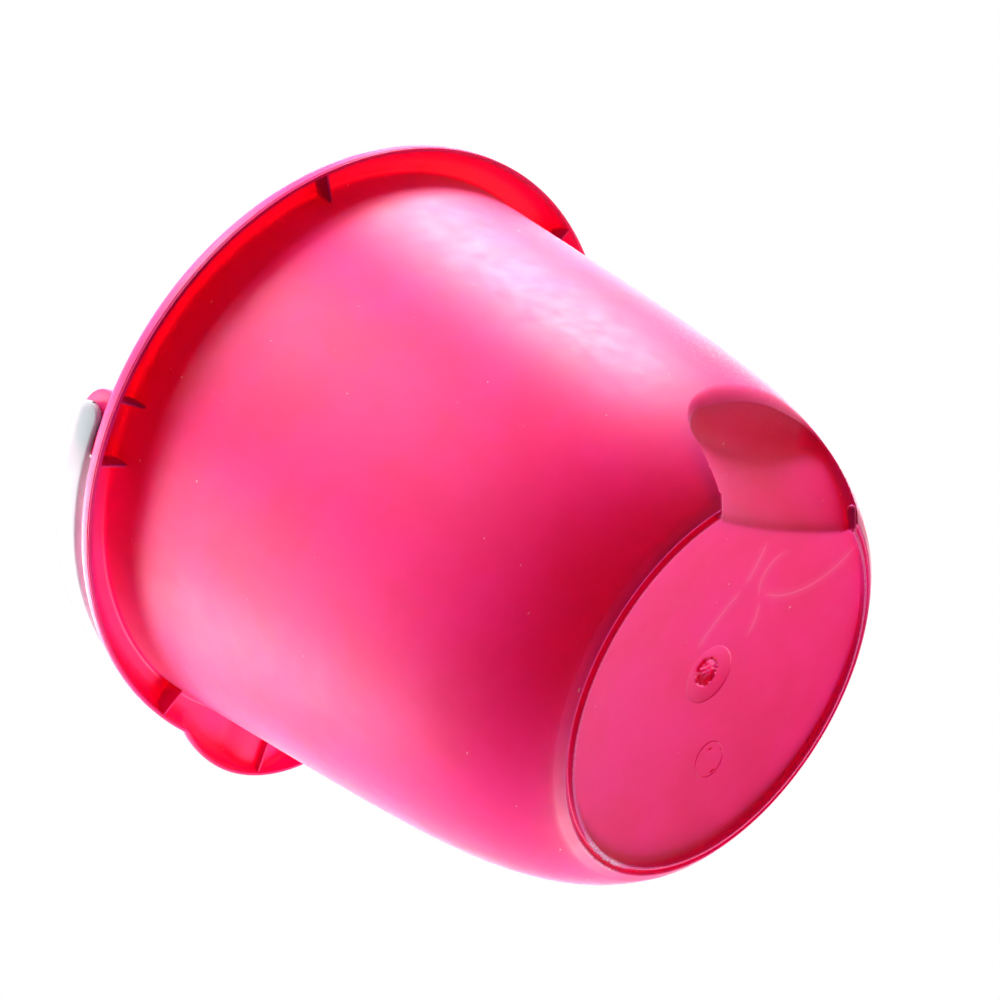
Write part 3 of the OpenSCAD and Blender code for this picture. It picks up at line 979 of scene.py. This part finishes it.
def bucket_material():
    material, tree, shader = new_material("pink_polypropylene", BUCKET_SHADER)
    position = tree.nodes.new("ShaderNodeTexCoord").outputs["Object"]
    split = tree.nodes.new("ShaderNodeSeparateXYZ")
    tree.links.new(position, split.inputs["Vector"])
    height = split.outputs["Z"]
    lines = flow_lines(tree, position, height)
    grit = noise(tree, *BUCKET_GRIT)
    land = math_node(tree, "MULTIPLY", map_range(tree, height, 0.1 * MM, 0.5 * MM, 1, 0), grit)

    cloud = map_range(tree, noise(tree, *BUCKET_CLOUD), 0.35, 0.65, 0, 1)
    colour = mix_colour(tree, cloud, DEEP_PINK, PINK)
    colour = mix_colour(tree, math_node(tree, "MULTIPLY", lines, FLOW_STRENGTH), colour, PALE_PINK)
    colour = scuffs_and_highlights(tree, colour, position, height, grit, land)
    tree.links.new(colour, shader.inputs["Base Color"])

    patches = map_range(tree, noise(tree, *BUCKET_PATCHES), 0.3, 0.7, 0.44, 0.52)
    rough = math_node(tree, "MULTIPLY_ADD", land, 0.2, patches)
    tree.links.new(rough, shader.inputs["Roughness"])
    wave = bump(tree, noise(tree, *BUCKET_WAVE), 0.12, 0.4 * MM)
    ripple = bump(tree, lines, 0.3, 0.15 * MM, wave)
    grain = bump(tree, noise(tree, *BUCKET_GRAIN), 0.22, 0.1 * MM, ripple)
    tree.links.new(grain, shader.inputs["Normal"])
    return material


def bail_material():
    material, tree, shader = new_material("white_polypropylene", BAIL_SHADER)
    cloud = map_range(tree, noise(tree, *BAIL_CLOUD), 0.35, 0.65, 0, 1)
    tree.links.new(mix_colour(tree, cloud, *BAIL_SHADES), shader.inputs["Base Color"])
    rough = map_range(tree, noise(tree, *BAIL_PATCHES), 0.3, 0.7, 0.5, 0.6)
    tree.links.new(rough, shader.inputs["Roughness"])
    wave = bump(tree, noise(tree, *BAIL_WAVE), 0.2, 0.3 * MM)
    grain = bump(tree, noise(tree, *BAIL_GRAIN), 0.1, 0.05 * MM, wave)
    tree.links.new(grain, shader.inputs["Normal"])
    return material


# ---------------------------------------------------------------- stage, light and camera
CAMERA_AT = (487.06, 162.52, -325.10)
CAMERA_BACK = (0.73503, 0.22773, -0.63865)
CAMERA_UP = (0.06210, 0.91534, 0.39787)
CAMERA_LENS = 81.06
CAMERA_SENSOR = 36

FLOOR_SIZE = 8  # metres, and so is the gap that keeps it clear of the foot ring
FLOOR_GAP = 0.0002

# Soft boxes: direction from the bucket, width in metres and power in watts. Most of them stand behind it, as
# the camera sees it, so that its sides are bright and its middle keeps some shade.
SOFT_BOXES = (
    ("backdrop", (-0.70, -0.18, 0.69), 1.3, 24),
    ("behind", (0.38, 0.50, 0.78), 0.5, 13),
    ("behind_above", (-0.30, 0.82, 0.48), 0.5, 19),
    ("behind_left", (0.54, -0.34, 0.77), 0.5, 9),
    ("behind_below", (0.05, -0.53, 0.84), 0.5, 9),
    ("below_left", (0.35, -0.75, 0.56), 0.5, 6),
    ("left", (0.72, 0.26, 0.65), 0.5, 4),
    ("base_fill", (-0.30, -0.80, -0.52), 0.5, 14),
)
LIGHT_DISTANCE = 1.2
LIGHT_AIM = (0, 0, 85)

# The surround's strength behind the bucket and on the camera's side, and the range of the cosine to the
# camera over which it fades from one to the other
TENT_BACK = 0.95
TENT_FRONT = 0.06
TENT_FADE = (-0.6, 0.4)


def floor():
    """A pale floor under the bucket. It is clear from below, where the camera stands."""
    bpy.ops.mesh.primitive_plane_add(size=FLOOR_SIZE, location=(0, 0, -FLOOR_GAP))
    plane = bpy.context.object
    plane.name = "floor"
    material, tree, shader = new_material("pale_floor", {"Roughness": 0.7})
    cloud = noise(tree, *FLOOR_CLOUD)
    tree.links.new(mix_colour(tree, cloud, *FLOOR_SHADES), shader.inputs["Base Color"])
    clear = tree.nodes.new("ShaderNodeBsdfTransparent")
    side = tree.nodes.new("ShaderNodeNewGeometry")
    mix = tree.nodes.new("ShaderNodeMixShader")
    output = tree.nodes["Material Output"]
    tree.links.new(side.outputs["Backfacing"], mix.inputs["Fac"])
    tree.links.new(shader.outputs["BSDF"], mix.inputs[1])
    tree.links.new(clear.outputs["BSDF"], mix.inputs[2])
    tree.links.new(mix.outputs["Shader"], output.inputs["Surface"])
    plane.data.materials.append(material)
    plane.visible_shadow = False
    plane.visible_diffuse = False
    plane.visible_glossy = False


def soft_box(name, direction, size, power):
    """A square soft light, on a direction from the middle of the bucket."""
    data = bpy.data.lights.new(name, "AREA")
    data.shape = "SQUARE"
    data.size = size
    data.energy = power
    light = bpy.data.objects.new(name, data)
    light.visible_camera = False
    bpy.context.scene.collection.objects.link(light)
    away = Vector(direction).normalized()
    light.location = in_metres(LIGHT_AIM) + away * LIGHT_DISTANCE
    light.rotation_mode = "QUATERNION"
    light.rotation_quaternion = away.to_track_quat("Z", "Y")


def world_light():
    """A soft surround, brighter behind the bucket than on the camera's side. The camera sees it white."""
    world = bpy.data.worlds.new("studio")
    world.use_nodes = True
    bpy.context.scene.world = world
    tree = world.node_tree
    background = tree.nodes["Background"]
    background.inputs["Color"].default_value = (1, 1, 1, 1)
    direction = tree.nodes.new("ShaderNodeTexCoord").outputs["Generated"]
    facing = vector_node(tree, "DOT_PRODUCT", direction, CAMERA_BACK)
    tent = map_range(tree, facing, *TENT_FADE, TENT_BACK, TENT_FRONT)
    seen = tree.nodes.new("ShaderNodeLightPath").outputs["Is Camera Ray"]
    tree.links.new(math_node(tree, "MAXIMUM", seen, tent), background.inputs["Strength"])


def camera():
    data = bpy.data.cameras.new("camera")
    data.lens = CAMERA_LENS
    data.sensor_width = CAMERA_SENSOR
    data.clip_start = 0.01
    obj = bpy.data.objects.new("camera", data)
    bpy.context.scene.collection.objects.link(obj)
    back = Vector(CAMERA_BACK).normalized()
    right = Vector(CAMERA_UP).cross(back).normalized()
    up = back.cross(right)
    turn = Matrix((right, up, back)).transposed().to_4x4()
    obj.matrix_world = Matrix.Translation(in_metres(CAMERA_AT)) @ turn
    bpy.context.scene.camera = obj


# ---------------------------------------------------------------- the scene
def build():
    bucket = bucket_skin()
    extras = [ear(1), ear(-1)]
    extras += [gusset(math.radians(degrees)) for degrees in GUSSETS]
    extras += [bead(1), bead(-1), flash()]
    extras += stamp()
    join_solids(bucket, extras)
    dress(bucket, bucket_material())
    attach(bucket, "bucket")
    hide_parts("bucket")

    bail = bail_strap()
    join_solids(bail, [bail_stud(1), bail_stud(-1)])
    dress(bail, bail_material())
    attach(bail, "bail")
    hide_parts("bail")


build()
floor()
for box in SOFT_BOXES:
    soft_box(*box)
world_light()
camera()
bpy.context.scene.view_settings.view_transform = "Standard"
